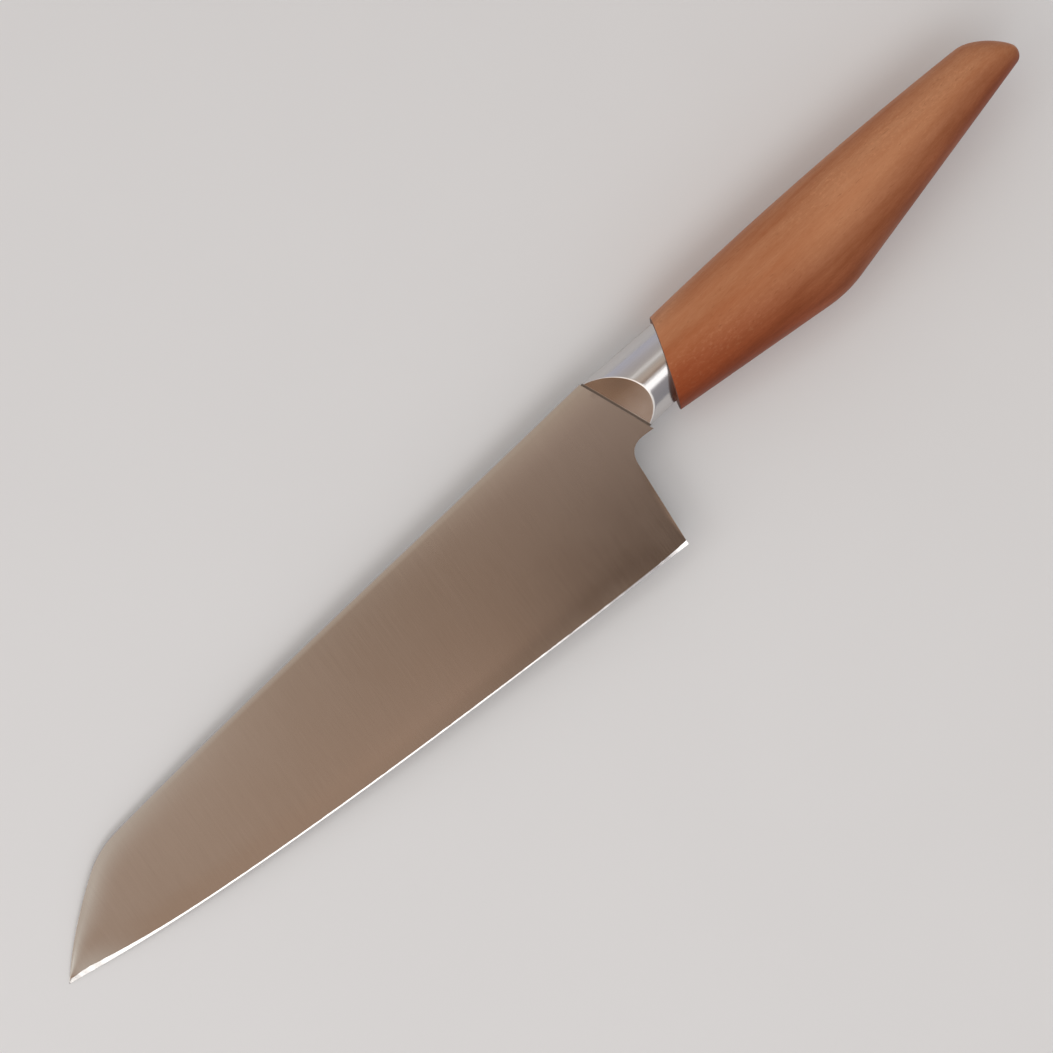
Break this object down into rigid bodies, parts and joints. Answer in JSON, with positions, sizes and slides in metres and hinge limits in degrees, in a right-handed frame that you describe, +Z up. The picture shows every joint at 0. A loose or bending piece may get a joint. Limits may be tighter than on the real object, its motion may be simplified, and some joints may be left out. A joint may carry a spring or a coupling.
{
  "type": "bunka knife",
  "caption": "Bunka kitchen knife: flat-ground steel blade with an angled tip, polished bolster with slanted side facets, and a one-piece wooden handle bedded over a hidden tang.",
  "frame": {"origin": "bottom centre of the knife's box as it lies on its right side with the blade level", "axes": "+X from the tip to the butt, +Y from the edge to the spine, +Z up out of the knife's left side, along the blade's thickness"},
  "size_m": [0.2972, 0.0434, 0.0216],
  "materials": {
    "blade_steel": "satin, finely ground from spine to edge, with a bright honed edge",
    "bolster_steel": "polished barrel with satin facets",
    "handle_wood": "oiled cherry, satin, grain along the handle",
    "bond_resin": "cured amber resin, hidden inside the handle"
  },
  "bodies": {
    "root": {"blade": "blade_steel", "bolster": "bolster_steel", "handle": "handle_wood", "tang_bond": "bond_resin"}
  },
  "joints": []
}
